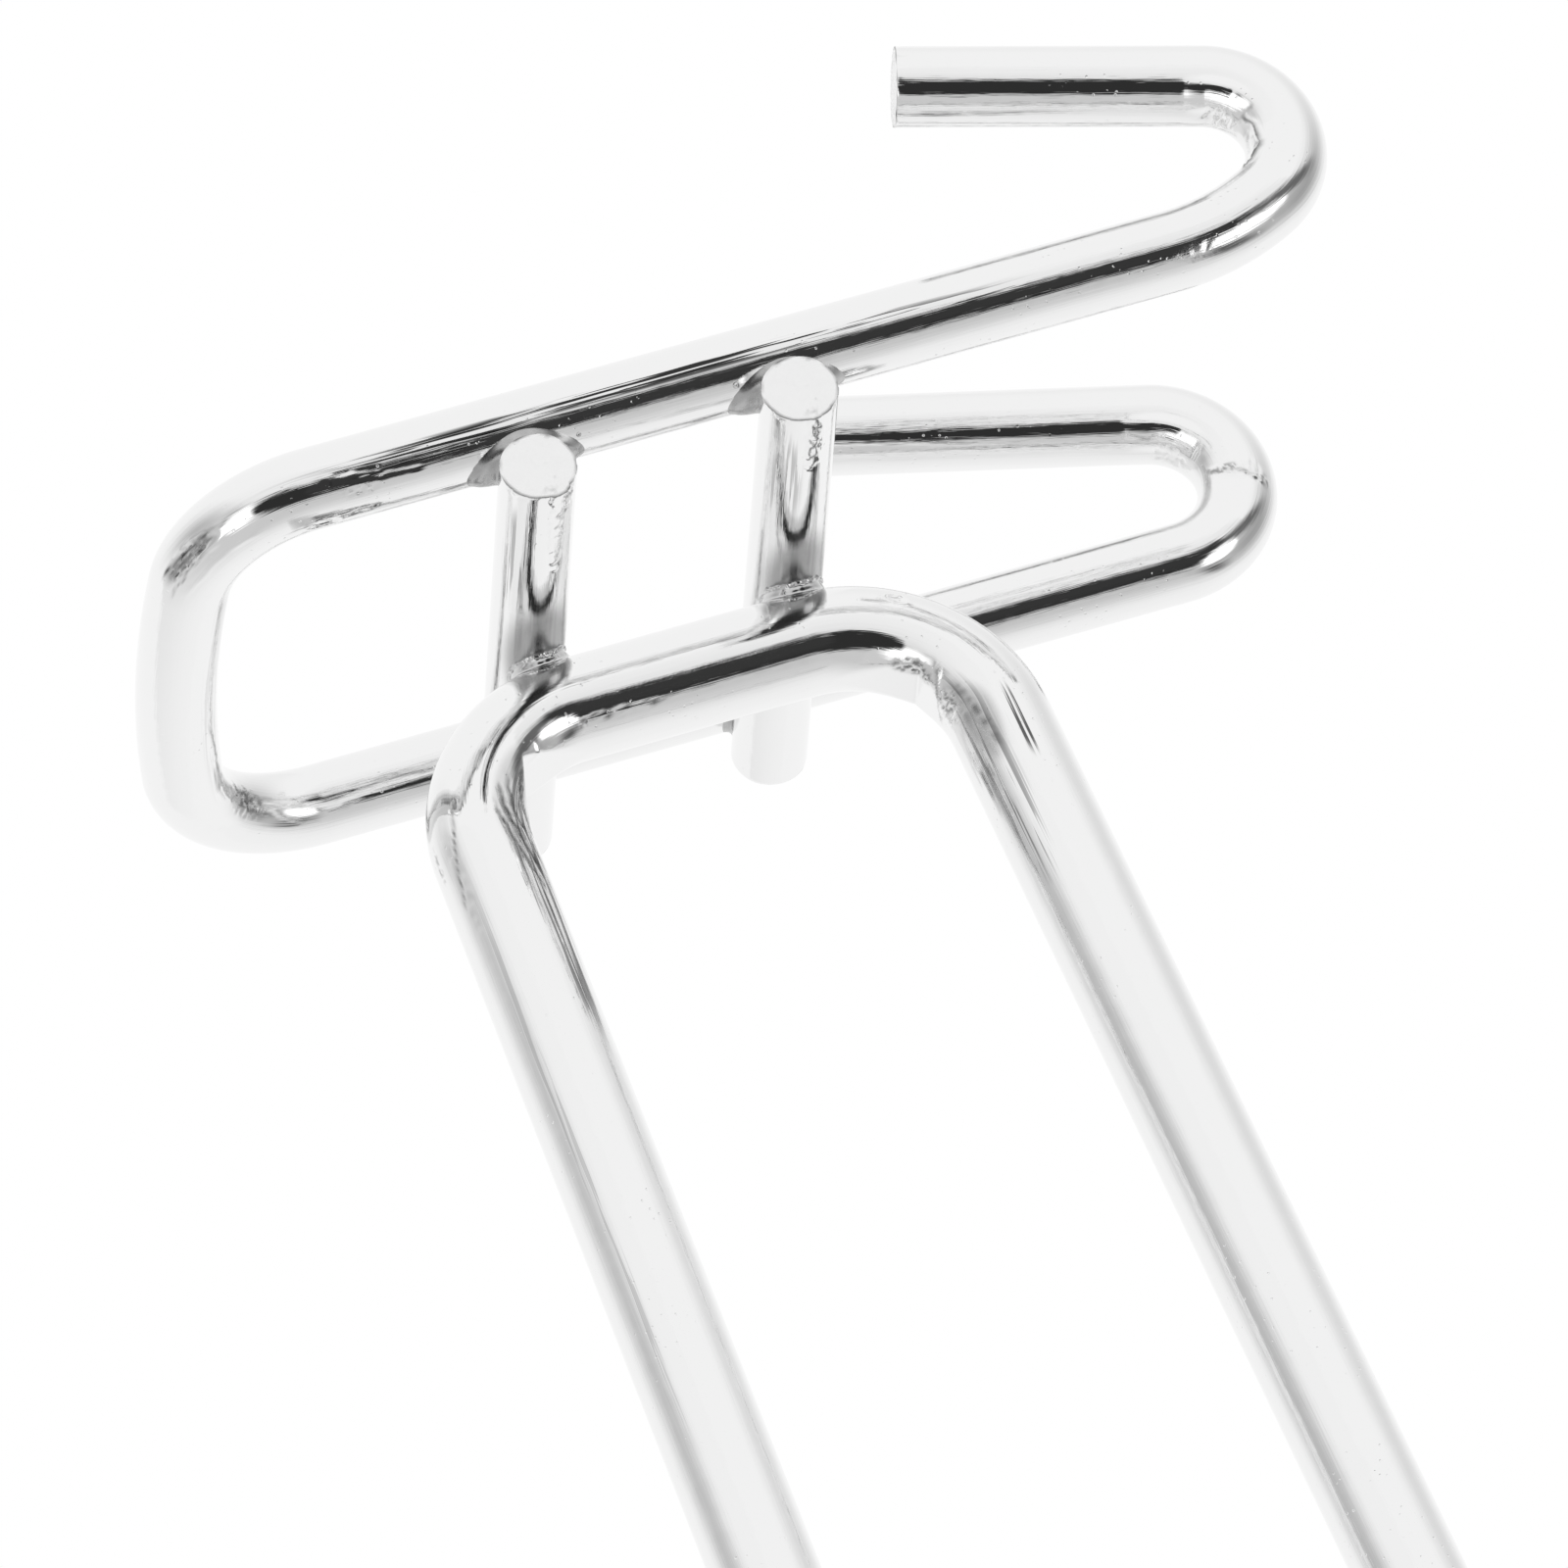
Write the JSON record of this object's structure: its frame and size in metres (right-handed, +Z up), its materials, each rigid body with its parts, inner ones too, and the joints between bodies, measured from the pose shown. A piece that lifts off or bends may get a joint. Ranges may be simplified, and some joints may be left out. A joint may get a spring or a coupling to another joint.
{
  "type": "pegboard hook",
  "caption": "Chromed wire display hook with stacked straight prongs welded to a wire bracket whose hairpin ends hook over a rail, a slot edge or a grid wire.",
  "frame": {"origin": "middle of the hanging line, the axis of the rail that both hairpins hook over", "axes": "+Z up along the arms, -Y forwards along the prongs, X across the bracket along the rail"},
  "size_m": [0.0293, 0.1093, 0.0546],
  "materials": {
    "frame_plating": "bright nickel-chrome plate over drawn steel wire, with draw lines and bending marks",
    "crossbar_plating": "bright nickel-chrome plate over drawn steel wire, with sheared ends and weld marks",
    "prong_plating": "bright nickel-chrome plate over drawn steel wire, with bending marks and small pits"
  },
  "bodies": {
    "root": {"back_frame": "frame_plating", "lower_crossbar": "crossbar_plating", "upper_crossbar": "crossbar_plating", "prong_loop": "prong_plating"}
  },
  "joints": []
}
